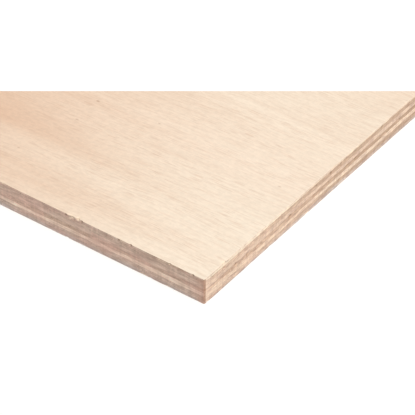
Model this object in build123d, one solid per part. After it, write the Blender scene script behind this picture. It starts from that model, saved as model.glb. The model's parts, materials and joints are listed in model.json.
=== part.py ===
from build123d import *
import os

# Plywood sheet: seven plies of hardwood veneer, glued crosswise, sawn square and sanded.
# Millimetres. +X runs along the face grain, +Y across it and +Z up. The sheet lies flat,
# and the origin is the middle of its underside.

# Size of the sheet as sold, measured along the face grain and across it
sheet_length = 2440.0
sheet_width = 1220.0

# Thickness of each ply in the finished sheet, from the face down to the back
face_veneer_thickness = 1.5
upper_crossband_thickness = 3.0
upper_long_band_thickness = 2.7
core_thickness = 3.05
lower_long_band_thickness = 2.8
lower_crossband_thickness = 2.95
back_veneer_thickness = 2.0

# Wear of the sawn edges: the radius of the four upright corners, and of the arrises that
# run round the face and the back
corner_radius = 0.8
arris_radius = 0.3

# The turn of a leaf about +Z, in degrees, that lays its grain along or across the sheet
GRAIN_ALONG = 0.0
GRAIN_ACROSS = 90.0

# The lay-up from the underside to the face: name, thickness and turn of each leaf.
# Each ply is turned square to its neighbours, so the sheet stays flat.
LAY_UP = [
    ("back_veneer", back_veneer_thickness, GRAIN_ALONG),
    ("lower_crossband", lower_crossband_thickness, GRAIN_ACROSS),
    ("lower_long_band", lower_long_band_thickness, GRAIN_ALONG),
    ("core", core_thickness, GRAIN_ACROSS),
    ("upper_long_band", upper_long_band_thickness, GRAIN_ALONG),
    ("upper_crossband", upper_crossband_thickness, GRAIN_ACROSS),
    ("face_veneer", face_veneer_thickness, GRAIN_ALONG),
]


def veneer_leaf(grain_length, grain_width, thickness):
    """A leaf trimmed to the sheet's outline, with its grain along its own X and its underside on Z = 0."""
    outline = RectangleRounded(grain_length, grain_width, corner_radius)
    return extrude(outline, thickness)


def ply(thickness, turn):
    """A leaf turned as it is laid: its grain runs the sheet's length, or its width when it lies across."""
    if turn == GRAIN_ALONG:
        return veneer_leaf(sheet_length, sheet_width, thickness)
    return Rotation(0, 0, turn) * veneer_leaf(sheet_width, sheet_length, thickness)


def ease_arris(outer_face):
    """The leaf of an outer face, with the arris round that face taken off by sanding and handling."""
    return fillet(outer_face.edges(), arris_radius)


def build_sheet():
    """The plies by name, stacked face to face from the underside up."""
    plies = {}
    height = 0.0
    for name, thickness, turn in LAY_UP:
        leaf = ply(thickness, turn)
        by_height = leaf.faces().sort_by(Axis.Z)
        if name == LAY_UP[0][0]:
            leaf = ease_arris(by_height[0])
        if name == LAY_UP[-1][0]:
            leaf = ease_arris(by_height[-1])
        plies[name] = Pos(0, 0, height) * leaf
        height += thickness
    return plies


os.makedirs("parts", exist_ok=True)
for name, solid in build_sheet().items():
    solid.label = name
    export_step(solid, f"parts/{name}.step")
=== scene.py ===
import json
import math

import bmesh
import bpy
import numpy as np
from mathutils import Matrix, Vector

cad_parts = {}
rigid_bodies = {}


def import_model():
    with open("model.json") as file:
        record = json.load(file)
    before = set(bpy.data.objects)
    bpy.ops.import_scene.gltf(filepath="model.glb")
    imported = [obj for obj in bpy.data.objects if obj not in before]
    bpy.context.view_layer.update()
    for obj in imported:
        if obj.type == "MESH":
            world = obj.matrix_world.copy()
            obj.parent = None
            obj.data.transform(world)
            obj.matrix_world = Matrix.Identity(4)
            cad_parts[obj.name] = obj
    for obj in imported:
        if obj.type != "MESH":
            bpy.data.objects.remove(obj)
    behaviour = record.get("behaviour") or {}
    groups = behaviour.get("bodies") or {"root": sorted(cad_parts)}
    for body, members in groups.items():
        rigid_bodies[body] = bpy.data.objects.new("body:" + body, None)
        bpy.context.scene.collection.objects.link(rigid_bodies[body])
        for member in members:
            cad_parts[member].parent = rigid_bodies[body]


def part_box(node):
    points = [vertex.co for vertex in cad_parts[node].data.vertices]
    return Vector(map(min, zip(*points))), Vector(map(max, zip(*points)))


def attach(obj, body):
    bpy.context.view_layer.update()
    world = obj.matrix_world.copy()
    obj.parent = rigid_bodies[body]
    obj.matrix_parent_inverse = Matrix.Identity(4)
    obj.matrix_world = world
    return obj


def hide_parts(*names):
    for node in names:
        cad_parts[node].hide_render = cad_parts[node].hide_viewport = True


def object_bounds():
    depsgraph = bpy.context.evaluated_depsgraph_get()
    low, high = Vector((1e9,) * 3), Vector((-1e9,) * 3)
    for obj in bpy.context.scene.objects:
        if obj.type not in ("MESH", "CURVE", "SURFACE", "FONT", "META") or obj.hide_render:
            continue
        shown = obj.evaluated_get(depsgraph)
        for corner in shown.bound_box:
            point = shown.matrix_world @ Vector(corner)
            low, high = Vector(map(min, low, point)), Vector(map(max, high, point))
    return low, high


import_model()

# A plywood sheet lying flat, in metres. The face grain runs along X and the underside is on Z = 0.
# The sheet is worked as one blank, so that neighbouring plies share each glue line,
# and then it is taken apart into its seven plies.

mm = 0.001
cadLow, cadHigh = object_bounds()
halfLength, halfWidth, thickness = cadHigh.x, cadHigh.y, cadHigh.z

# from the underside up: the ply, its material slot and whether its grain lies across the sheet
layUp = [
    ("back_veneer", "back_veneer", False),
    ("lower_crossband", "crossband", True),
    ("lower_long_band", "long_band", False),
    ("core", "crossband", True),
    ("upper_long_band", "long_band", False),
    ("upper_crossband", "crossband", True),
    ("face_veneer", "face_veneer", False),
]
plyBottoms = [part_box(name)[0].z for name, slot, across in layUp]
glueHeights = plyBottoms[1:]

blank = {
    "gridCell": 20 * mm,                          # squares of the two broad faces
    "cornerRadius": 0.8 * mm,
    "cornerSegments": 3,
    "arrisRadius": 0.3 * mm,
    "arrisSegments": 2,
    "rimLines": (0.7 * mm, 1.6 * mm, 4.0 * mm),   # cuts that run round the broad faces, in from the edge
    "glueRow": 0.14 * mm,                         # a row of faces each side of a glue line
    "rowHeight": 0.62 * mm,                       # rows up the edges, about
    "shortEdge": 3 * mm,                          # edges shorter than this aren't cut again
    "coarseCuts": 7,                              # cuts in each grid cell along the edges
    "fineCuts": 19,                               # the same near the corner that is seen close up
    "fineReach": 0.26,                            # how far from that corner they go
    "arrisTurn": 0.9,                             # how much two faces differ in slope at an arris, at least
    "smoothAngle": 42,                            # in degrees: sharper edges stay crisp
}
close = 1e-5                                      # measures that differ by less than this are the same


def deselectAll():
    for obj in bpy.data.objects:
        obj.select_set(False)
    bpy.context.view_layer.objects.active = None


def makeActive(obj):
    deselectAll()
    obj.select_set(True)
    bpy.context.view_layer.objects.active = obj


def pick(obj, mode, rule):
    # selects the edges or faces of the edited mesh that the rule accepts
    bpy.ops.mesh.select_mode(type=mode)
    bpy.ops.mesh.select_all(action="DESELECT")
    mesh = bmesh.from_edit_mesh(obj.data)
    for one in {"EDGE": mesh.edges, "FACE": mesh.faces}[mode]:
        if rule(one):
            one.select_set(True)
    mesh.select_flush_mode()
    bmesh.update_edit_mesh(obj.data)


def cutFlat(point, normal):
    bpy.ops.mesh.select_all(action="SELECT")
    bpy.ops.mesh.bisect(plane_co=point, plane_no=normal, threshold=1e-6)


def isUprightCorner(edge):
    a, b = edge.verts[0].co, edge.verts[1].co
    upright = abs(a.z - b.z) > thickness / 2
    return upright and abs(a.x) > halfLength - close and abs(a.y) > halfWidth - close


def isArris(edge):
    # a level face meets an upright one there
    if len(edge.link_faces) != 2:
        return False
    first, second = (abs(face.normal.z) for face in edge.link_faces)
    return abs(first - second) > blank["arrisTurn"]


def runsAlongRim(edge):
    a, b = edge.verts[0].co, edge.verts[1].co
    if edge.calc_length() < blank["shortEdge"] or abs(a.z - b.z) > close:
        return False
    reach = blank["rimLines"][-1] + close
    alongX = abs(a.y - b.y) < close and halfWidth - abs(a.y) < reach
    alongY = abs(a.x - b.x) < close and halfLength - abs(a.x) < reach
    return alongX or alongY


def nearSeenCorner(edge):
    middle = (edge.verts[0].co + edge.verts[1].co) / 2
    return middle.x > halfLength - blank["fineReach"] and middle.y < blank["fineReach"] - halfWidth


def rowHeights():
    # the heights of the rows up the edges: one at each glue line, one close to each side of it,
    # and even rows between
    rows = list(glueHeights)
    bounds = [blank["arrisRadius"]] + glueHeights + [thickness - blank["arrisRadius"]]
    for low, high in zip(bounds[:-1], bounds[1:]):
        start = low + (blank["glueRow"] if low in glueHeights else 0)
        end = high - (blank["glueRow"] if high in glueHeights else 0)
        count = max(1, round((end - start) / blank["rowHeight"]))
        rows += [start + (end - start) * step / count for step in range(count + 1)]
    return sorted(rows)


def addBlank():
    deselectAll()
    cells = (round(2 * halfLength / blank["gridCell"]), round(2 * halfWidth / blank["gridCell"]))
    bpy.ops.mesh.primitive_grid_add(x_subdivisions=cells[0], y_subdivisions=cells[1], size=1)
    sheet = bpy.context.object
    sheet.name = "sheetBlank"
    bpy.ops.object.mode_set(mode="EDIT")
    bpy.ops.mesh.select_all(action="SELECT")
    bpy.ops.transform.resize(value=(2 * halfLength, 2 * halfWidth, 1))
    bpy.ops.mesh.extrude_region_move(TRANSFORM_OT_translate={"value": (0, 0, thickness)})
    bpy.ops.mesh.select_all(action="SELECT")
    bpy.ops.mesh.normals_make_consistent(inside=False)
    pick(sheet, "EDGE", isUprightCorner)
    bpy.ops.mesh.bevel(offset=blank["cornerRadius"], segments=blank["cornerSegments"], affect="EDGES")
    pick(sheet, "EDGE", isArris)
    bpy.ops.mesh.bevel(offset=blank["arrisRadius"], segments=blank["arrisSegments"], affect="EDGES")
    for inset in blank["rimLines"]:
        for side in (-1, 1):
            cutFlat((side * (halfLength - inset), 0, 0), (1, 0, 0))
            cutFlat((0, side * (halfWidth - inset), 0), (0, 1, 0))
    for height in rowHeights():
        cutFlat((0, 0, height), (0, 0, 1))
    pick(sheet, "EDGE", lambda edge: runsAlongRim(edge) and nearSeenCorner(edge))
    bpy.ops.mesh.subdivide(number_cuts=blank["fineCuts"])
    pick(sheet, "EDGE", lambda edge: runsAlongRim(edge) and not nearSeenCorner(edge))
    bpy.ops.mesh.subdivide(number_cuts=blank["coarseCuts"])
    bpy.ops.object.mode_set(mode="OBJECT")
    return sheet


# Wear and roughness: how deep each kind goes, how long, wide and high its patches are, how far its noise
# is shifted along X and Y, how detailed it is, and between which of its values the wear starts and is
# full. The two of the glue lines move them up and down. All others go in along the normals, and the sheet
# keeps its size to 0.1 mm.
wear = {
    "glueWave": {"depth": 1.00 * mm, "patch": (60 * mm, 60 * mm, 5 * mm),
                 "shift": (2.96 * mm, 88 * mm), "detail": 1, "ramp": (0.2, 0.8)},
    "glueRipple": {"depth": 0.38 * mm, "patch": (15 * mm, 15 * mm, 4 * mm),
                   "shift": (3.70 * mm, 110 * mm), "detail": 1, "ramp": (0.2, 0.8)},
    "sawnFace": {"depth": 0.20 * mm, "patch": (2.4 * mm, 2.4 * mm, 0.9 * mm),
                 "shift": (2.96 * mm, 88 * mm), "detail": 2, "ramp": (0.2, 0.8)},
    "sawnWaist": {"depth": 0.24 * mm, "patch": (60 * mm, 60 * mm, 9 * mm),
                  "shift": (3.33 * mm, 99 * mm), "detail": 1, "ramp": (0.25, 0.75)},
    "faceChips": {"depth": 0.70 * mm, "patch": (5.5 * mm, 5.5 * mm, 2 * mm),
                  "shift": (3.33 * mm, 99 * mm), "detail": 2, "ramp": (0.24, 0.40)},
    "backChips": {"depth": 0.65 * mm, "patch": (7 * mm, 7 * mm, 2 * mm),
                  "shift": (3.33 * mm, 99 * mm), "detail": 2, "ramp": (0.22, 0.36)},
    "bandGaps": {"depth": 1.10 * mm, "patch": (6.5 * mm, 6.5 * mm, 1.1 * mm),
                 "shift": (2.96 * mm, 88 * mm), "detail": 1, "ramp": (0.22, 0.33)},
}

# How far the wear reaches
wearReach = {
    "wall": 0.28 * mm,                   # the walls of the edges start this far from the two faces
    "glueFade": 1.4 * mm,                # glue lines wander fully this far from the arrises
    "waistFade": 0.8 * mm,               # and the saw does so this far from them
    "rimFade": (0.3 * mm, 1.5 * mm),     # chips fade out between these, in from the rim
    "faceChips": (0.5 * mm, 1.5 * mm),   # and between these below the face
    "backChips": (0.5 * mm, 1.7 * mm),   # and between these above the underside
    "gapFade": (0.5, 0.95),              # gaps keep to the middle of their ply, in shares of half of it
    "gapShares": (1.0, 0.6),             # how deep they are in the core, and in the crossbands
    "gapsOnSides": 0.3,                  # and how deep on the long sides, against the ends
    "fullMove": (0.12 * mm, 0.6 * mm),   # wood that moved this far starts to show it, and shows it fully
}

# The lowest glue line hardly shows: below this height lines show as much as the share says
faintGlue = {"below": 3.5 * mm, "share": 0.3}

# On the end at +X the plies dip towards the corner that is seen close up. The full depth holds this far
# from the corner, and the dip ends at its reach: each is given at the underside and at the face.
# At the corner itself it fades, so that the glue lines still meet there.
cornerDip = {
    "depth": 1.15 * mm,
    "full": (20 * mm, 55 * mm),
    "reach": (120 * mm, 210 * mm),
    "cornerFade": (0.5 * mm, 4 * mm),
}

# Damage in its own places: where it is, how the wood has moved and how far round it goes.
# Chips and splinters show pale fresh wood, and nicks and gaps are darkened: dirt, and painted shade in the
# recesses.
splinters = [
    {"at": (1.1285, -halfWidth, 17.8 * mm), "move": (0, 1.5 * mm, -0.5 * mm), "reach": 2.2 * mm},
    {"at": (1.1255, -halfWidth, 17.4 * mm), "move": (0, 1.1 * mm, -0.5 * mm), "reach": 2.0 * mm},
    {"at": (1.1225, -halfWidth, 15.7 * mm), "move": (0, 0.8 * mm, 0), "reach": 1.6 * mm},
]
nicks = [
    {"at": (1.1315, -halfWidth, 17.3 * mm), "move": (0, 1.0 * mm, 0), "reach": 1.3 * mm},
    {"at": (1.1195, -halfWidth, 17.0 * mm), "move": (0, 1.0 * mm, 0), "reach": 1.3 * mm},
    {"at": (1.1590, -halfWidth, 17.2 * mm), "move": (0, 0.9 * mm, 0), "reach": 1.2 * mm},
    {"at": (1.1685, -halfWidth, 17.0 * mm), "move": (0, 1.2 * mm, 0), "reach": 1.3 * mm},
    {"at": (1.1957, -halfWidth, 17.2 * mm), "move": (0, 1.1 * mm, 0), "reach": 1.2 * mm},
    {"at": (1.2120, -halfWidth, 17.2 * mm), "move": (0, 0.9 * mm, 0), "reach": 1.2 * mm},
    {"at": (halfLength, -0.5805, 8.9 * mm), "move": (-1.6 * mm, 0, 0), "reach": 1.5 * mm},
    {"at": (halfLength, -0.5690, 9.2 * mm), "move": (-1.3 * mm, 0, 0), "reach": 1.4 * mm},
    {"at": (halfLength, -0.5265, 9.4 * mm), "move": (-1.8 * mm, 0, 0), "reach": 1.6 * mm},
    {"at": (halfLength, -0.5010, 9.0 * mm), "move": (-1.4 * mm, 0, 0), "reach": 1.4 * mm},
    {"at": (halfLength, -0.4830, 14.6 * mm), "move": (-1.3 * mm, 0, 0), "reach": 1.5 * mm},
    {"at": (halfLength, -0.4560, 8.9 * mm), "move": (-1.5 * mm, 0, 0), "reach": 1.5 * mm},
    {"at": (halfLength, -0.4270, 15.2 * mm), "move": (-1.3 * mm, 0, 0), "reach": 1.5 * mm},
]


def readPoints(obj):
    points = np.empty(len(obj.data.vertices) * 3)
    obj.data.vertices.foreach_get("co", points)
    return points.reshape(-1, 3)


def smoothStep(values, low, high):
    share = np.clip((values - low) / (high - low), 0, 1)
    return share * share * (3 - 2 * share)


def writeAttribute(obj, name, values):
    layer = obj.data.attributes.new(name, "FLOAT", "POINT")
    layer.data.foreach_set("value", values.astype("f"))


def addWeights(obj, name, weights):
    # a vertex group with the weights in tenths
    group = obj.vertex_groups.new(name=name)
    steps = np.round(weights * 10).astype(int)
    for step in range(1, 11):
        members = np.nonzero(steps == step)[0]
        if len(members):
            group.add(members.tolist(), step / 10, "REPLACE")


def dipShare(points):
    # how much of the corner's dip each point gets
    height, fromCorner = points[:, 2], points[:, 1] + halfWidth
    ends = (cornerDip["full"], cornerDip["reach"])
    full, reach = (low + (high - low) * height / thickness for low, high in ends)
    onEnd = halfLength - points[:, 0] < blank["arrisRadius"]
    atCorner = smoothStep(fromCorner, *cornerDip["cornerFade"])
    return onEnd * (1 - smoothStep(fromCorner, full, reach)) * atCorner


def gapShare(height):
    # how much of the bands' gaps each height gets
    share = np.zeros(len(height))
    inCore, inCrossbands = wearReach["gapShares"]
    for index, (name, slot, across) in enumerate(layUp):
        if across:
            low, high = plyBottoms[index], plyBottoms[index + 1]
            middle, half = (low + high) / 2, (high - low) / 2
            start, end = (half * fade for fade in wearReach["gapFade"])
            inPly = 1 - smoothStep(np.abs(height - middle), start, end)
            share = np.maximum(share, (inCore if name == "core" else inCrossbands) * inPly)
    return share


def weighEdges(obj):
    # which parts of the edges each kind of wear reaches, and where the glue lines show
    points = readPoints(obj)
    height = points[:, 2]
    fromEnd, fromSide = halfLength - np.abs(points[:, 0]), halfWidth - np.abs(points[:, 1])
    rim = np.minimum(fromEnd, fromSide)
    wall = rim < blank["cornerRadius"]
    wall &= (height > wearReach["wall"]) & (height < thickness - wearReach["wall"])
    inner = np.minimum(height, thickness - height) - blank["arrisRadius"]
    glueWander = wall * smoothStep(inner, 0, wearReach["glueFade"])
    addWeights(obj, "glueWave", glueWander)
    addWeights(obj, "glueRipple", glueWander)
    addWeights(obj, "cornerDip", glueWander * dipShare(points))
    addWeights(obj, "sawnFace", wall * 1.0)
    addWeights(obj, "sawnWaist", wall * smoothStep(inner, 0, wearReach["waistFade"]))
    nearRim = 1 - smoothStep(rim, *wearReach["rimFade"])
    high, low = (thickness - depth for depth in wearReach["faceChips"])
    addWeights(obj, "faceChips", nearRim * smoothStep(height, low, high))
    addWeights(obj, "backChips", nearRim * (1 - smoothStep(height, *wearReach["backChips"])))
    onEnds = np.where(fromEnd < fromSide, 1.0, wearReach["gapsOnSides"])
    addWeights(obj, "bandGaps", gapShare(height) * wall * onEnds)
    fromGlue = np.min(np.abs(height[:, None] - np.array(glueHeights)[None, :]), axis=1)
    shows = np.where(height < faintGlue["below"], faintGlue["share"], 1.0)
    writeAttribute(obj, "glueLine", ((fromGlue < close) & wall) * shows)


def roughen(obj, name, direction="NORMAL"):
    kind = wear[name]
    makeActive(obj)
    # the empty's place shifts the noise, and its scale is the size of the patches
    bpy.ops.object.empty_add(location=(*kind["shift"], 0))
    spacer = bpy.context.object
    spacer.scale = kind["patch"]
    bpy.context.view_layer.update()
    cloud = bpy.data.textures.new(name, "CLOUDS")
    cloud.noise_scale = 1.0
    cloud.noise_depth = kind["detail"]
    cloud.use_color_ramp = True
    for stop, place, shade in zip(cloud.color_ramp.elements, kind["ramp"], (0.0, 1.0)):
        stop.position = place
        stop.color = (shade, shade, shade, 1)
    makeActive(obj)
    bpy.ops.object.modifier_add(type="DISPLACE")
    modifier = obj.modifiers[-1]
    modifier.texture = cloud
    modifier.texture_coords = "OBJECT"
    modifier.texture_coords_object = spacer
    modifier.vertex_group = name
    modifier.direction = direction
    modifier.mid_level = 0.5 if direction == "Z" else 1.0
    modifier.strength = kind["depth"]
    bpy.ops.object.modifier_apply(modifier=modifier.name)
    bpy.data.objects.remove(spacer)


def dipPlies(obj):
    makeActive(obj)
    bpy.ops.object.modifier_add(type="DISPLACE")
    modifier = obj.modifiers[-1]
    modifier.vertex_group = "cornerDip"
    modifier.direction = "Z"
    modifier.mid_level = 0.0
    modifier.strength = -cornerDip["depth"]
    bpy.ops.object.modifier_apply(modifier=modifier.name)


def addDamage(obj, places):
    makeActive(obj)
    bpy.ops.object.mode_set(mode="EDIT")
    bpy.ops.mesh.select_mode(type="VERT")
    for spot in places:
        middle = Vector(spot["at"])
        mesh = bmesh.from_edit_mesh(obj.data)
        nearest = min(mesh.verts, key=lambda vert: (vert.co - middle).length_squared)
        bpy.ops.mesh.select_all(action="DESELECT")
        nearest.select_set(True)
        bmesh.update_edit_mesh(obj.data)
        bpy.ops.transform.translate(value=spot["move"], use_proportional_edit=True,
                                    proportional_edit_falloff="SMOOTH", proportional_size=spot["reach"])
    bpy.ops.object.mode_set(mode="OBJECT")


def lostWood(before, after):
    # how far the wood has moved at each point, from 0 to 1
    return smoothStep(np.linalg.norm(after - before, axis=1), *wearReach["fullMove"])


def assignPlies(obj, materials):
    # each ply's faces get its own material, by their height
    for material in materials:
        obj.data.materials.append(material)
    makeActive(obj)
    bpy.ops.object.mode_set(mode="EDIT")
    bounds = [-mm] + glueHeights + [thickness + mm]
    for index, (low, high) in enumerate(zip(bounds[:-1], bounds[1:])):
        pick(obj, "FACE", lambda face: low < face.calc_center_median().z < high)
        obj.active_material_index = index
        bpy.ops.object.material_slot_assign()
    bpy.ops.object.mode_set(mode="OBJECT")


def takeApart(obj, materials):
    # one object for each ply, closed along its glue lines
    makeActive(obj)
    bpy.ops.object.mode_set(mode="EDIT")
    bpy.ops.mesh.separate(type="MATERIAL")
    bpy.ops.object.mode_set(mode="OBJECT")
    plies = {}
    for piece in list(bpy.context.selected_objects):
        makeActive(piece)
        bpy.ops.object.mode_set(mode="EDIT")
        bpy.ops.mesh.select_all(action="SELECT")
        bpy.ops.mesh.fill_holes(sides=0)
        bpy.ops.mesh.select_all(action="SELECT")
        bpy.ops.mesh.normals_make_consistent(inside=False)
        bpy.ops.object.mode_set(mode="OBJECT")
        bpy.ops.object.shade_smooth_by_angle(angle=math.radians(blank["smoothAngle"]))
        plies[layUp[materials.index(piece.data.materials[0])][0]] = piece
    return plies


# The materials: helpers, values, the shared node groups and what each ply is painted with

def paint(red, green, blue):
    # a colour as picked on screen, 0 to 255, made linear
    shades = []
    for shade in (red, green, blue):
        share = shade / 255
        shades.append(share / 12.92 if share < 0.04045 else ((share + 0.055) / 1.055) ** 2.4)
    return (*shades, 1.0)


def grey(shade):
    # a linear grey
    return (shade, shade, shade, 1.0)


def addNode(tree, kind, inputs=None, **settings):
    made = tree.nodes.new("ShaderNode" + kind)
    for name, value in settings.items():
        setattr(made, name, value)
    for name, value in (inputs or {}).items():
        if isinstance(value, bpy.types.NodeSocket):
            tree.links.new(value, made.inputs[name])
        else:
            made.inputs[name].default_value = value
    return made


def calc(tree, operation, *values, clamp=False):
    return addNode(tree, "Math", dict(enumerate(values)), operation=operation, use_clamp=clamp).outputs[0]


def times(tree, first, *others):
    for other in others:
        first = calc(tree, "MULTIPLY", first, other)
    return first


def plus(tree, first, *others):
    for other in others:
        first = calc(tree, "ADD", first, other)
    return first


def minus(tree, first, second):
    return calc(tree, "SUBTRACT", first, second)


def spread(tree, value, low, high, bottom=0.0, top=1.0):
    # rises smoothly from bottom to top while the value goes from low to high
    made = addNode(tree, "MapRange", {0: value, 1: low, 2: high, 3: bottom, 4: top})
    made.interpolation_type = "SMOOTHSTEP"
    return made.outputs[0]


def fade(tree, value, low, high):
    return spread(tree, value, low, high, 1.0, 0.0)


def mixColour(tree, share, first, second, blend="MIX"):
    made = addNode(tree, "Mix", {0: share, 6: first, 7: second}, data_type="RGBA", blend_type=blend)
    return made.outputs[2]


def cloudNoise(tree, vector, scale, detail=2, roughness=0.5, shift=(0, 0, 0)):
    # scale is how many patches there are to the metre along each axis
    moved = addNode(tree, "Mapping", {"Vector": vector, "Scale": scale, "Location": shift})
    made = addNode(tree, "TexNoise", {"Vector": moved.outputs[0], "Scale": 1.0, "Detail": detail,
                                      "Roughness": roughness})
    return made.outputs[0]


def startGroup(name, inputs, outputs):
    tree = bpy.data.node_groups.new(name, "ShaderNodeTree")
    for socketName, default in inputs.items():
        kind = "NodeSocketFloat" if isinstance(default, float) else "NodeSocketVector"
        socket = tree.interface.new_socket(socketName, in_out="INPUT", socket_type=kind)
        socket.default_value = default
    for socketName in outputs:
        tree.interface.new_socket(socketName, in_out="OUTPUT", socket_type="NodeSocketFloat")
    return tree, tree.nodes.new("NodeGroupInput").outputs, tree.nodes.new("NodeGroupOutput").inputs


def useGroup(tree, group, inputs):
    return addNode(tree, "Group", inputs, node_tree=group).outputs


# The noises of the wood and of its edges: patches to the metre along each axis, detail and roughness,
# and for some a shift that keeps them apart
grainNoise = {
    "drift": ((1.1, 3.2, 3.2), 1),
    "ripple": ((11, 16, 16), 1),
    "rings": ((0.48, 4.2, 4.2), 2, 0.40),
    "comeAndGo": ((9, 34, 34), 2),
    "fibre": ((56, 560, 560), 3, 0.66),
    "dashes": ((90, 1500, 1500), 0),
    "crowd": ((12, 80, 80), 1),
    "patch": ((0.55, 6.0, 6.0), 2, 0.55),
    "grit": ((320, 480, 480), 3, 0.62),
}
endNoise = {
    "specks": ((200, 1600, 1600), 2, 0.6),
    "checks": ((60, 1300, 330), 1),
    "torn": ((90, 230, 420), 2, 0.6),
}
sawnNoise = {
    "scratch": ((560, 560, 38), 2, 0.6),
    "soil": ((30, 30, 90), 3, 0.6),
    "tint": ((55, 55, 150), 2, 0.5, (7, 3, 1)),
    "mottle": ((130, 190, 720), 3, 0.66, (2, 5, 4)),
    "streaks": ((60, 60, 480), 2),
}
faceNoise = {
    "wobble": ((2.0, 19, 19), 3, 0.55),
    "streaks": ((1.1, 42, 42), 3, 0.6),
}

# Between which values a noise, a ring or a slope comes in or fades out, and for some how much of it
# shows at each of the two
ramps = {
    "lateWood": (0.25, 0.88),
    "ringEnd": (0.88, 1.0),
    "comeAndGo": (0.36, 0.62, 0.10, 1.0),
    "flame": (0.05, 0.80),
    "flameEnd": (0.80, 1.0),
    "dashes": (0.58, 0.70),
    "crowd": (0.38, 0.62, 0.15, 1.0),
    "pinSize": (0.004, 0.012),
    "fewPins": (0.56, 0.58),
    "checks": (0.61, 0.72),
    "specks": (0.45, 0.75),
    "warmth": (0.38, 0.64),
    "fibre": (0.42, 0.70),
    "grit": (0.3, 0.7, 0.955, 1.03),
    "faceStreaks": (0.34, 0.62, 0.76, 1.08),
    "shadowedStreaks": (0.36, 0.60, 0.45, 1.0),
    "scratch": (0.3, 0.7, 0.93, 1.06),
    "mottle": (0.30, 0.70),
    "brokenGlue": (0.38, 0.60),
    "edge": (0.35, 0.75),
    "end": (0.55, 0.85),
    "side": (0.45, 0.75),
}

# How the grain lies
grainShape = {
    "wander": 0.07,               # how far the grain drifts to the side, in metres
    "ripple": 4.5 * mm,           # and how far it ripples
    "rings": 34.0,                # rings over the whole range of their noise
    "flames": 0.24,               # broad flames for each ring
    "pinSpacing": (7, 13, 13),    # pins to the metre along each axis
    "leans": (-0.5, 0.7),         # the slant of the knife checks, one ply and the next
    "plyShift": (3.1, 1.7, 0.9),  # metres from each ply's place in the noises to the next one's
    "spotWobble": 0.5,            # how ragged the warm patches are
}

# Where marks start and end on the edges, measured from the upright corners
markReach = {
    "shadowedOnSide": (0.3 * mm, 3.2 * mm),
    "shadowedOnEnd": (1.4 * mm, 2.0 * mm),
    "browned": (1.0 * mm, 9.0 * mm),
    "highlitStart": (1.8 * mm, 2.3 * mm),
    "highlitEnd": (2.8 * mm, 7.0 * mm),
    "darkening": (15 * mm, 170 * mm),
    "nearCornersStart": (3 * mm, 16 * mm),
    "nearCornersEnd": (18 * mm, 70 * mm),
}


def makeGrainGroup():
    # long grain of a peeled veneer, with its fibres along X
    tree, given, out = startGroup("veneerGrain", {"Vector": (0, 0, 0), "Wander": grainShape["wander"],
                                                  "Rings": grainShape["rings"]},
                                  ["Figure", "Flame", "Fibre", "Pores", "Patch", "Grit", "Pins"])
    vector = given["Vector"]
    axes = addNode(tree, "SeparateXYZ", {0: vector}).outputs
    drift = minus(tree, cloudNoise(tree, vector, *grainNoise["drift"]), 0.5)
    ripple = minus(tree, cloudNoise(tree, vector, *grainNoise["ripple"]), 0.5)
    offset = plus(tree, times(tree, drift, given["Wander"]), times(tree, ripple, grainShape["ripple"]))
    across = plus(tree, axes[1], offset)
    bent = addNode(tree, "CombineXYZ", {0: axes[0], 1: across, 2: axes[2]}).outputs[0]
    rings = times(tree, cloudNoise(tree, bent, *grainNoise["rings"]), given["Rings"])
    phase = calc(tree, "FRACT", rings)
    late = times(tree, spread(tree, phase, *ramps["lateWood"]), fade(tree, phase, *ramps["ringEnd"]))
    comeAndGo = spread(tree, cloudNoise(tree, bent, *grainNoise["comeAndGo"]), *ramps["comeAndGo"])
    tree.links.new(times(tree, late, comeAndGo), out["Figure"])
    slow = calc(tree, "FRACT", times(tree, rings, grainShape["flames"]))
    flame = times(tree, spread(tree, slow, *ramps["flame"]), fade(tree, slow, *ramps["flameEnd"]))
    tree.links.new(flame, out["Flame"])
    dashes = spread(tree, cloudNoise(tree, bent, *grainNoise["dashes"]), *ramps["dashes"])
    crowd = spread(tree, cloudNoise(tree, bent, *grainNoise["crowd"]), *ramps["crowd"])
    tree.links.new(times(tree, dashes, crowd), out["Pores"])
    for noise, output in (("fibre", "Fibre"), ("patch", "Patch"), ("grit", "Grit")):
        tree.links.new(cloudNoise(tree, bent, *grainNoise[noise]), out[output])
    spaced = addNode(tree, "Mapping", {"Vector": bent, "Scale": grainShape["pinSpacing"]}).outputs[0]
    knots = addNode(tree, "TexVoronoi", {"Vector": spaced, "Scale": 1.0}, voronoi_dimensions="2D").outputs
    few = spread(tree, knots["Color"], *ramps["fewPins"])
    tree.links.new(times(tree, fade(tree, knots["Distance"], *ramps["pinSize"]), few), out["Pins"])
    return tree


def makeEndGroup():
    # end grain of a peeled veneer: pores, the slanting checks that the knife leaves, torn fibres
    tree, given, out = startGroup("endGrain", {"Vector": (0, 0, 0), "Lean": 0.0},
                                  ["Specks", "Checks", "Torn"])
    vector = given["Vector"]
    axes = addNode(tree, "SeparateXYZ", {0: vector}).outputs
    leaning = plus(tree, axes[1], times(tree, axes[2], given["Lean"]))
    slanted = addNode(tree, "CombineXYZ", {0: axes[0], 1: leaning, 2: axes[2]}).outputs[0]
    checks = spread(tree, cloudNoise(tree, slanted, *endNoise["checks"]), *ramps["checks"])
    tree.links.new(checks, out["Checks"])
    tree.links.new(cloudNoise(tree, vector, *endNoise["specks"]), out["Specks"])
    tree.links.new(cloudNoise(tree, vector, *endNoise["torn"]), out["Torn"])
    return tree


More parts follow.
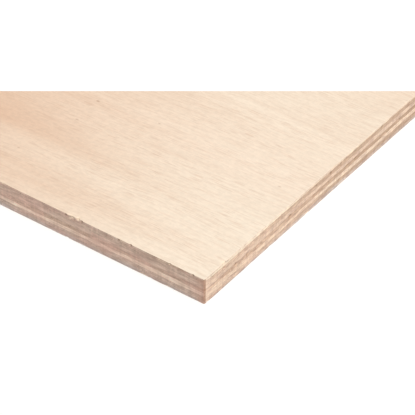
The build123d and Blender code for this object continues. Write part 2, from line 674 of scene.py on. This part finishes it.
def makeSawnGroup():
    # what the saw and the years leave on the edges, with painted light and shade: upright scratches,
    # patches of soil and tint, mottles, painted shade that turns each upright corner, browner wood before
    # it, a strip of painted light after it, wood that is darker farther along the ends from the corners,
    # and the stretch beside the corners
    tree, given, out = startGroup("sawnEdge", {"Vector": (0, 0, 0), "Half Length": 1.0, "Half Width": 1.0},
                                  ["Scratch", "Soil", "Tint", "Mottle", "Shadowed", "Browned", "Highlit",
                                   "Darkening", "NearCorners"])
    vector = given["Vector"]
    for noise, output in (("scratch", "Scratch"), ("soil", "Soil"), ("tint", "Tint"), ("mottle", "Mottle")):
        tree.links.new(cloudNoise(tree, vector, *sawnNoise[noise]), out[output])
    axes = addNode(tree, "SeparateXYZ", {0: vector}).outputs
    fromEnd = minus(tree, given["Half Length"], calc(tree, "ABSOLUTE", axes[0]))
    fromSide = minus(tree, given["Half Width"], calc(tree, "ABSOLUTE", axes[1]))
    streaks = spread(tree, cloudNoise(tree, vector, *sawnNoise["streaks"]), *ramps["shadowedStreaks"])
    # painted shade: a dark streaky band that carries the long side's shade round each upright corner
    shadowed = times(tree, fade(tree, fromEnd, *markReach["shadowedOnSide"]),
                   fade(tree, fromSide, *markReach["shadowedOnEnd"]), streaks)
    # painted light: a lighter strip on the end just past that band
    highlit = times(tree, spread(tree, fromSide, *markReach["highlitStart"]),
                 fade(tree, fromSide, *markReach["highlitEnd"]))
    # the stretch along the long sides beside the corners
    nearCorners = times(tree, spread(tree, fromEnd, *markReach["nearCornersStart"]),
                    fade(tree, fromEnd, *markReach["nearCornersEnd"]))
    tree.links.new(shadowed, out["Shadowed"])
    tree.links.new(fade(tree, fromEnd, *markReach["browned"]), out["Browned"])
    tree.links.new(highlit, out["Highlit"])
    tree.links.new(spread(tree, fromSide, *markReach["darkening"]), out["Darkening"])
    tree.links.new(nearCorners, out["NearCorners"])
    return tree


veneerGrain, endGrain, sawnEdge = makeGrainGroup(), makeEndGroup(), makeSawnGroup()

# Each ply's colours as picked on screen: its wood, the warmer and the darker wood in it, how strongly
# its grain and its fibre ends show, and how light its sawn edges are where they show long grain
# and where they show fibre ends. Those two lightnesses are partly the grain and partly painted light
# and shade, which makes the sawn edges at the ends and on the long sides lighter or darker.
finishes = {
    "back_veneer": {"wood": (229, 214, 208), "warm": (222, 201, 190), "dark": (186, 154, 132),
                    "grain": 1.0, "ends": 1.0, "longEdgeGrainAndLight": 0.92, "endEdgeGrainAndLight": 0.93},
    "lower_crossband": {"wood": (234, 211, 194), "warm": (228, 200, 181), "dark": (176, 142, 120),
                        "grain": 1.1, "ends": 1.1, "longEdgeGrainAndLight": 1.09, "endEdgeGrainAndLight": 0.945},
    "lower_long_band": {"wood": (254, 232, 212), "warm": (252, 222, 199), "dark": (224, 186, 160),
                        "grain": 0.8, "ends": 0.8, "longEdgeGrainAndLight": 1.06, "endEdgeGrainAndLight": 1.02},
    "core": {"wood": (231, 203, 182), "warm": (224, 192, 168), "dark": (166, 132, 110),
             "grain": 1.2, "ends": 1.2, "longEdgeGrainAndLight": 1.09, "endEdgeGrainAndLight": 0.97},
    "upper_long_band": {"wood": (248, 221, 201), "warm": (244, 210, 190), "dark": (214, 176, 152),
                        "grain": 0.9, "ends": 0.9, "longEdgeGrainAndLight": 0.92, "endEdgeGrainAndLight": 0.98},
    "upper_crossband": {"wood": (236, 212, 191), "warm": (229, 200, 180), "dark": (178, 143, 120),
                        "grain": 1.1, "ends": 1.1, "longEdgeGrainAndLight": 1.13, "endEdgeGrainAndLight": 0.94},
    "face_veneer": {"wood": (255, 239, 219), "warm": (250, 226, 205), "dark": (208, 168, 140),
                    "grain": 1.0, "ends": 0.5, "longEdgeGrainAndLight": 0.955, "endEdgeGrainAndLight": 1.12},
}

# Spots in the face: where they are, how far they reach along and across, how much of that is at
# full strength, and how strong they are. The warm patches are partly the wood's own colour and partly
# painted shade: the first three make the face warmer and darker away from the corner at +X, -Y,
# standing in for light that falls off away from that corner.
warmPatchesAndShade = [
    {"at": (0.86, -0.568), "reach": (0.38, 0.23), "core": 0.20, "strength": 1.00},
    {"at": (0.50, -0.520), "reach": (0.75, 0.10), "core": 0.10, "strength": 0.62},
    {"at": (0.35, -0.600), "reach": (0.60, 0.05), "core": 0.10, "strength": 0.55},
    {"at": (1.30, -0.360), "reach": (0.60, 0.14), "core": 0.10, "strength": 0.22},
    {"at": (0.10, 0.340), "reach": (1.10, 0.09), "core": 0.15, "strength": 0.45},
    {"at": (-0.20, 0.270), "reach": (0.70, 0.05), "core": 0.10, "strength": 0.35},
    {"at": (-0.85, -0.100), "reach": (0.80, 0.10), "core": 0.15, "strength": 0.45},
    {"at": (-0.60, -0.200), "reach": (0.70, 0.05), "core": 0.10, "strength": 0.35},
]
pinKnots = [
    {"at": (1.0650, -0.5120), "reach": (1.8 * mm, 1.1 * mm), "core": 0.15, "strength": 0.55},
    {"at": (1.1100, -0.5080), "reach": (1.4 * mm, 0.9 * mm), "core": 0.15, "strength": 0.35},
    {"at": (1.0570, -0.5780), "reach": (1.4 * mm, 0.9 * mm), "core": 0.15, "strength": 0.35},
]

# How strongly the grain of every ply shows
grainDepth = {
    "warm": 0.60,
    "figure": 0.08,
    "flame": 0.06,
    "fibre": 0.17,
    "fibreOnEdge": 0.17,      # more of it there
    "pores": 0.26,
    "pins": 0.30,
    "checks": 0.40,
    "specks": 0.45,
}

# Marks on the edges: the colour each one turns the wood to, as picked on screen, how strong it is on
# every edge, and on the long sides or the ends alone, and where in its noise it starts and is full
edgeMarks = {
    "tint": {"colour": (236, 194, 178), "edge": 0.16, "longSide": 0.36, "ramp": (0.36, 0.66)},
    "soil": {"colour": (203, 175, 157), "edge": 0.38, "ramp": (0.46, 0.70)},
    "browned": {"colour": (206, 156, 130), "longSide": 0.40},
    # painted shade round each upright corner
    "shadowed": {"colour": (166, 118, 96), "edge": 0.34, "shortSide": 0.40},
    # painted light on the ends just past it
    "highlit": {"colour": (255, 222, 200), "shortSide": 0.40},
    "darkening": {"colour": (180, 148, 121), "shortSide": 0.44},
}
stains = {
    "warmPatchAndShade": (229, 191, 163),
    "pin": (176, 130, 100),
    "glue": (158, 120, 94),
    "freshWood": (255, 232, 206),
    "gapDirtAndShade": (136, 102, 76),
}

# What mottles, the stretch beside the corners, glue and breaks do to the shade of the edges, with
# painted light on the long bands beside the corners
edgeShades = {
    "sharperOnEnds": 0.05,                      # the mottles' ramp is shorter there by this at each end
    "darkMottle": (0.84, 0.80, 0.785, 1),
    "lightMottle": (1.14, 1.14, 1.15, 1),
    "lightOnEnds": (1.14, 1.15, 1.10, 1),
    # the face veneer is darker beside the corners
    "nearCorners": (0.76, 0.69, 0.63, 1),           # the face veneer beside the corners
    # painted light: the long bands keep less tint and soil beside the corners, so they show lighter there
    "cornerLitShare": 0.7,                        # how clean the long bands are there
    "brownedBands": 0.5,                        # and how much of the brown they take
    "glue": (0.16, 0.46),                       # the least glue that shows, and what the mottles add
    "freshWood": 0.80,
    "gapDirtAndShade": 0.60,
}

# The sheen and the fine relief of every ply
surface = {
    "roughness": 0.60,
    "rougherFibre": 0.12,
    "rougherEdge": 0.16,
    "specular": 0.30,
    "relief": 0.06 * mm,
    "edgeRelief": 1.2,        # how much stronger the relief of the edges is
}


def addSpots(tree, vector, spots, wobble=0.0):
    axes = addNode(tree, "SeparateXYZ", {0: vector}).outputs
    total = 0.0
    for spot in spots:
        along, across = (calc(tree, "DIVIDE", minus(tree, axis, middle), reach)
                         for axis, middle, reach in zip(axes, spot["at"], spot["reach"]))
        away = calc(tree, "SQRT", plus(tree, times(tree, along, along), times(tree, across, across)))
        away = plus(tree, away, wobble)
        total = calc(tree, "MAXIMUM", total, spread(tree, away, spot["core"], 1.0, spot["strength"], 0.0))
    return total


def stain(tree, colour, share, name):
    return mixColour(tree, share, colour, paint(*stains[name]))


def addMark(tree, colour, name, sawn, masks, scale=1.0):
    # one of the edge marks over the colour
    mark = edgeMarks[name]
    pattern = sawn[name.capitalize()]
    if "ramp" in mark:
        pattern = spread(tree, pattern, *mark["ramp"])
    sides = [times(tree, masks[side], mark[side])
             for side in ("edge", "longSide", "shortSide") if side in mark]
    share = times(tree, pattern, plus(tree, *sides), scale)
    return mixColour(tree, share, colour, paint(*mark["colour"]))


def paintFaceSpots(tree, colour, vector):
    wobble = minus(tree, cloudNoise(tree, vector, *faceNoise["wobble"]), 0.5)
    patches = addSpots(tree, vector, warmPatchesAndShade, times(tree, wobble, grainShape["spotWobble"]))
    streaks = spread(tree, cloudNoise(tree, vector, *faceNoise["streaks"]), *ramps["faceStreaks"])
    # warm patches: partly the wood's own colour, partly painted shade away from the corner at +X, -Y
    colour = stain(tree, colour, times(tree, patches, streaks), "warmPatchAndShade")
    return stain(tree, colour, addSpots(tree, vector, pinKnots), "pin")


def paintGrain(tree, colour, finish, grain, ends, masks):
    # grain where the ply shows its length, and pores and knife checks where it shows its fibre ends
    strength, dark, long = finish["grain"], paint(*finish["dark"]), masks["long"]
    lines = plus(tree, times(tree, grain["Figure"], grainDepth["figure"] * strength),
                 times(tree, grain["Flame"], grainDepth["flame"] * strength))
    colour = mixColour(tree, times(tree, lines, long), colour, dark)
    fibreDepth = plus(tree, grainDepth["fibre"] * strength,
                      times(tree, masks["edge"], grainDepth["fibreOnEdge"] * strength))
    fibre = times(tree, spread(tree, grain["Fibre"], *ramps["fibre"]), long, fibreDepth)
    colour = mixColour(tree, fibre, colour, dark)
    pores = times(tree, grain["Pores"], long, grainDepth["pores"] * strength)
    colour = mixColour(tree, pores, colour, dark)
    colour = stain(tree, colour, times(tree, grain["Pins"], long, grainDepth["pins"] * strength), "pin")
    specks = spread(tree, ends["Specks"], *ramps["specks"], 0.0, grainDepth["specks"])
    endShare = plus(tree, times(tree, ends["Checks"], grainDepth["checks"]), specks)
    endShare = calc(tree, "MULTIPLY", times(tree, endShare, masks["end"]), finish["ends"], clamp=True)
    colour = mixColour(tree, endShare, colour, dark)
    grit = spread(tree, grain["Grit"], *ramps["grit"])
    return mixColour(tree, 1.0, colour, grit, "MULTIPLY"), pores


def shadeEdges(tree, colour, finish, sawn, masks):
    # scratches and mottles over the ply's own lightness at its edges, which is partly painted light and
    # shade
    scratch = spread(tree, sawn["Scratch"], *ramps["scratch"])
    sharper = times(tree, masks["shortSide"], edgeShades["sharperOnEnds"])
    low, high = ramps["mottle"]
    mottle = spread(tree, sawn["Mottle"], plus(tree, low, sharper), minus(tree, high, sharper))
    light = mixColour(tree, masks["shortSide"], edgeShades["lightMottle"], edgeShades["lightOnEnds"])
    mottled = mixColour(tree, mottle, edgeShades["darkMottle"], light)
    # partly painted light and shade: the lightness set per ply for long grain and for fibre ends
    endGain = times(tree, masks["end"], finish["endEdgeGrainAndLight"] - finish["longEdgeGrainAndLight"])
    lightness = times(tree, scratch, plus(tree, finish["longEdgeGrainAndLight"], endGain))
    shade = mixColour(tree, 1.0, mottled, lightness, "MULTIPLY")
    return mixColour(tree, 1.0, colour, mixColour(tree, masks["edge"], grey(1), shade), "MULTIPLY")


def paintEdges(tree, colour, name, across, sawn, masks):
    # tinted and soiled patches, the saw, the corners' marks with their painted shade and painted light,
    # the glue, wood that shows where it broke, and dirt with painted shade in the gaps
    longBand = name.endswith("long_band")
    nearCorners = times(tree, sawn["NearCorners"], masks["longSide"])
    # painted light: beside the corners the long bands keep less of their tint and soil, so they show
    # lighter
    cornerLit = minus(tree, 1.0, times(tree, nearCorners, edgeShades["cornerLitShare"])) if longBand else 1.0
    colour = addMark(tree, colour, "tint", sawn, masks, cornerLit)
    colour = addMark(tree, colour, "soil", sawn, masks, cornerLit)
    # the face veneer is darker beside the corners
    if name == "face_veneer":
        colour = mixColour(tree, nearCorners, colour, edgeShades["nearCorners"], "MULTIPLY")
    colour = shadeEdges(tree, colour, finishes[name], sawn, masks)
    colour = addMark(tree, colour, "browned", sawn, masks, edgeShades["brownedBands"] if longBand else 1.0)
    # painted shade round the upright corners, then painted light just past it on the ends
    colour = addMark(tree, colour, "shadowed", sawn, masks)
    colour = addMark(tree, colour, "highlit", sawn, masks)
    # the crossbands' ends are darker farther from the corners
    if across:
        colour = addMark(tree, colour, "darkening", sawn, masks)
    glue, fresh, dirty = (addNode(tree, "Attribute", attribute_name=attribute).outputs["Fac"]
                          for attribute in ("glueLine", "freshWood", "gapDirtAndShade"))
    least, more = edgeShades["glue"]
    broken = plus(tree, spread(tree, sawn["Mottle"], *ramps["brokenGlue"], 0.0, more), least)
    colour = stain(tree, colour, times(tree, glue, broken), "glue")
    colour = stain(tree, colour, times(tree, fresh, edgeShades["freshWood"]), "freshWood")
    # nicks and gaps darkened: dirt, and painted shade in the recesses
    return stain(tree, colour, times(tree, dirty, masks["edge"], edgeShades["gapDirtAndShade"]), "gapDirtAndShade")


def makePlyMaterial(index, name, across):
    finish = finishes[name]
    material = bpy.data.materials.new(name + "_wood")
    material.use_nodes = True
    tree = material.node_tree
    shader = tree.nodes["Principled BSDF"]
    place = addNode(tree, "TexCoord").outputs
    shift = [step * index for step in grainShape["plyShift"]]
    turned = addNode(tree, "Mapping", {"Vector": place["Object"], "Location": shift,
                                       "Rotation": (0, 0, -math.pi / 2 if across else 0)}).outputs[0]
    normal = addNode(tree, "SeparateXYZ", {0: place["Normal"]}).outputs
    facing = [calc(tree, "ABSOLUTE", axis) for axis in normal]
    masks = {
        "edge": fade(tree, facing[2], *ramps["edge"]),
        "end": spread(tree, facing[1 if across else 0], *ramps["end"]),
        "longSide": spread(tree, facing[1], *ramps["side"]),
        "shortSide": spread(tree, facing[0], *ramps["side"]),
    }
    masks["long"] = minus(tree, 1.0, masks["end"])

    grain = useGroup(tree, veneerGrain, {"Vector": turned})
    ends = useGroup(tree, endGrain, {"Vector": turned, "Lean": grainShape["leans"][index % 2]})
    sawn = useGroup(tree, sawnEdge, {"Vector": place["Object"], "Half Length": halfLength,
                                     "Half Width": halfWidth})
    warmth = spread(tree, grain["Patch"], *ramps["warmth"], 0.0, grainDepth["warm"])
    colour = mixColour(tree, warmth, paint(*finish["wood"]), paint(*finish["warm"]))
    if name == "face_veneer":
        colour = paintFaceSpots(tree, colour, place["Object"])
    colour, pores = paintGrain(tree, colour, finish, grain, ends, masks)
    colour = paintEdges(tree, colour, name, across, sawn, masks)

    roughness = plus(tree, surface["roughness"], times(tree, grain["Fibre"], surface["rougherFibre"]),
                     times(tree, masks["edge"], surface["rougherEdge"]))
    edgeRelief = plus(tree, times(tree, ends["Torn"], masks["end"]), sawn["Scratch"])
    relief = plus(tree, minus(tree, times(tree, grain["Fibre"], masks["long"]), pores),
                  times(tree, edgeRelief, masks["edge"], surface["edgeRelief"]))
    bump = addNode(tree, "Bump", {"Strength": 1.0, "Distance": surface["relief"], "Height": relief})
    tree.links.new(colour, shader.inputs["Base Color"])
    tree.links.new(roughness, shader.inputs["Roughness"])
    tree.links.new(bump.outputs[0], shader.inputs["Normal"])
    shader.inputs["Specular IOR Level"].default_value = surface["specular"]
    return material


materials = [makePlyMaterial(index, name, across) for index, (name, slot, across) in enumerate(layUp)]
print("finishes made:", len(materials))

sheet = addBlank()
print("blank cut:", len(sheet.data.vertices), "vertices")
assignPlies(sheet, materials)
weighEdges(sheet)
dipPlies(sheet)
roughen(sheet, "glueWave", "Z")
roughen(sheet, "glueRipple", "Z")
roughen(sheet, "sawnFace")
roughen(sheet, "sawnWaist")
sawnPoints = readPoints(sheet)
roughen(sheet, "faceChips")
roughen(sheet, "backChips")
addDamage(sheet, splinters)
chippedPoints = readPoints(sheet)
roughen(sheet, "bandGaps")
addDamage(sheet, nicks)
freshWood = lostWood(sawnPoints, chippedPoints)
gapDirtAndShade = lostWood(chippedPoints, readPoints(sheet))
writeAttribute(sheet, "freshWood", freshWood)
writeAttribute(sheet, "gapDirtAndShade", gapDirtAndShade)
print("edges worn:", int((freshWood + gapDirtAndShade > 0.2).sum()), "points moved")

plies = takeApart(sheet, materials)
for name, slot, across in layUp:
    ply = plies[name]
    ply.name = ply.data.name = name + "_leaf"
    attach(ply, "root")
    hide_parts(name)
print("plies taken apart:", sorted(ply.name for ply in plies.values()))


# The floor and the air are white to the eye, and the floor keeps the sheet's soft shadow
white = grey(1)
studio = {
    "floorSize": 16.0,
    "floorShade": 0.70,          # what the floor gives back to the sheet
    "paperShade": 0.72,          # what the eye sees of the light on it
    "paperGlow": 0.32,           # and what is added to make it white
    "airLight": 0.36,            # plain light from all round
    "airTint": (0.99, 1.0, 1.07),
    "keyTint": (1.0, 0.99, 0.92),
    "keyTurn": 107.0,            # degrees from +Y, towards +X
    "keyHeight": 60.0,           # degrees above the floor
    "keyStrength": 2.35,
    "keySpread": 30.0,           # degrees
}


def whiteForTheEye(tree):
    seen = addNode(tree, "LightPath").outputs
    either = calc(tree, "MAXIMUM", seen["Is Camera Ray"], seen["Is Glossy Ray"])
    return calc(tree, "MAXIMUM", either, seen["Is Transmission Ray"])


def startStageMaterial(obj, name):
    # an empty material on the object, and the socket that its surface goes into
    material = bpy.data.materials.new(name)
    material.use_nodes = True
    tree = material.node_tree
    tree.nodes.remove(tree.nodes["Principled BSDF"])
    obj.data.materials.append(material)
    return tree, tree.nodes["Material Output"].inputs["Surface"]


def addFloor():
    deselectAll()
    bpy.ops.mesh.primitive_plane_add(size=studio["floorSize"])
    floor = bpy.context.object
    floor.name = "floor"
    tree, output = startStageMaterial(floor, "floorPaper")
    plain = addNode(tree, "BsdfDiffuse", {"Color": grey(studio["floorShade"])})
    paper = addNode(tree, "BsdfDiffuse", {"Color": grey(studio["paperShade"])})
    glow = addNode(tree, "Emission", {"Color": white, "Strength": studio["paperGlow"]})
    both = addNode(tree, "AddShader", {0: paper.outputs[0], 1: glow.outputs[0]})
    mixed = addNode(tree, "MixShader", {0: whiteForTheEye(tree), 1: plain.outputs[0], 2: both.outputs[0]})
    tree.links.new(mixed.outputs[0], output)


def addAir():
    world = bpy.data.worlds.new("air")
    bpy.context.scene.world = world
    world.use_nodes = True
    tree = world.node_tree
    background = tree.nodes["Background"]
    eye = whiteForTheEye(tree)
    tint = mixColour(tree, eye, (*studio["airTint"], 1), white)
    tree.links.new(tint, background.inputs["Color"])
    strength = addNode(tree, "Mix", {0: eye, 2: studio["airLight"], 3: 1.0})
    tree.links.new(strength.outputs[0], background.inputs["Strength"])


def addKeyLight():
    deselectAll()
    tilt, turn = math.radians(90 - studio["keyHeight"]), math.radians(180 - studio["keyTurn"])
    bpy.ops.object.light_add(type="SUN", rotation=(tilt, 0, turn))
    key = bpy.context.object
    key.data.energy = studio["keyStrength"]
    key.data.color = studio["keyTint"]
    key.data.angle = math.radians(studio["keySpread"])


# The camera looks down on the corner at +X, -Y. Picture measures are in pixels of a 415 px square.
shot = {
    "pictureSize": 415,
    "focal": 2016.0,                # focal length in pixels
    "heading": -36.54,              # degrees from +Y, towards +X
    "tilt": 38.43,                  # degrees down
    "distance": 1.118,              # to the corner, along the view
    "cornerPixel": (204.3, 280.1),  # where the face's corner lies, from the left and from the top
    "sensor": 36.0,                 # its width in millimetres
    "marginRow": 91,                # the picture is blank above this row
    "slipDistance": 12 * mm,        # a white slip this far before the lens keeps it blank
    "slipSpare": 1.1,               # how far the slip goes past the picture's edges
    "slipGlow": 1.1,
}


def addCamera():
    heading, tilt = math.radians(shot["heading"]), math.radians(shot["tilt"])
    forward = Vector((math.sin(heading) * math.cos(tilt), math.cos(heading) * math.cos(tilt),
                      -math.sin(tilt)))
    right = Vector((math.cos(heading), -math.sin(heading), 0))
    up = right.cross(forward)
    middle = shot["pictureSize"] / 2
    across = (shot["cornerPixel"][0] - middle) / shot["focal"]
    down = (shot["cornerPixel"][1] - middle) / shot["focal"]
    corner = Vector((halfLength, -halfWidth, thickness))
    location = corner - shot["distance"] * (forward + across * right - down * up)
    deselectAll()
    bpy.ops.object.camera_add(location=location, rotation=(math.pi / 2 - tilt, 0, -heading))
    camera = bpy.context.object
    camera.data.sensor_width = shot["sensor"]
    camera.data.lens = shot["focal"] / shot["pictureSize"] * shot["sensor"]
    camera.data.clip_start = shot["slipDistance"] / 2
    bpy.context.scene.camera = camera
    return camera


def addMarginSlip(camera):
    # only this camera is near enough to see the slip, and it throws no light or shadow
    pixel = shot["slipDistance"] / shot["focal"]
    middle = shot["pictureSize"] / 2
    edge = middle * shot["slipSpare"]
    low, high = (middle - shot["marginRow"]) * pixel, edge * pixel
    ahead = Vector((0, (low + high) / 2, -shot["slipDistance"]))
    turn = camera.rotation_euler
    place = camera.location + turn.to_matrix() @ ahead
    deselectAll()
    bpy.ops.mesh.primitive_plane_add(size=1, rotation=turn, location=place)
    slip = bpy.context.object
    slip.name = "pictureMargin"
    slip.scale = (2 * edge * pixel, high - low, 1)
    slip.visible_diffuse = slip.visible_glossy = slip.visible_transmission = slip.visible_shadow = False
    tree, output = startStageMaterial(slip, "marginWhite")
    glow = addNode(tree, "Emission", {"Color": white, "Strength": shot["slipGlow"]})
    tree.links.new(glow.outputs[0], output)


addFloor()
addAir()
addKeyLight()
addMarginSlip(addCamera())
bpy.context.scene.view_settings.view_transform = "Standard"
print("stage, light and camera set")
